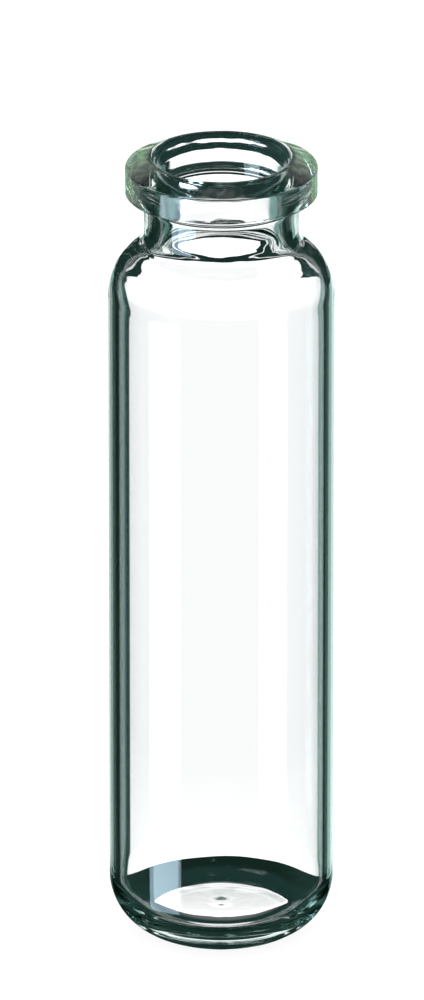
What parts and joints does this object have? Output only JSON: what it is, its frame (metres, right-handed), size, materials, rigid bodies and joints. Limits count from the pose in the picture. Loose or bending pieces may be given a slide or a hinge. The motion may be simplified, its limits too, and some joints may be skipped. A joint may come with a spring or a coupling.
{
  "type": "glass sample vial",
  "caption": "Tall clear glass sample vial with a rounded heel, short neck and thick bevelled crimp lip, open at the mouth.",
  "frame": {"origin": "centre of the foot ring, on the surface that the vial stands on", "axes": "+Z along the vial's axis, out of the mouth; the vial is round about Z, so X and Y are equal"},
  "size_m": [0.0234, 0.0234, 0.0855],
  "materials": {
    "clear_glass": "fire-polished clear"
  },
  "bodies": {
    "root": {"glass_vial": "clear_glass"}
  },
  "joints": []
}
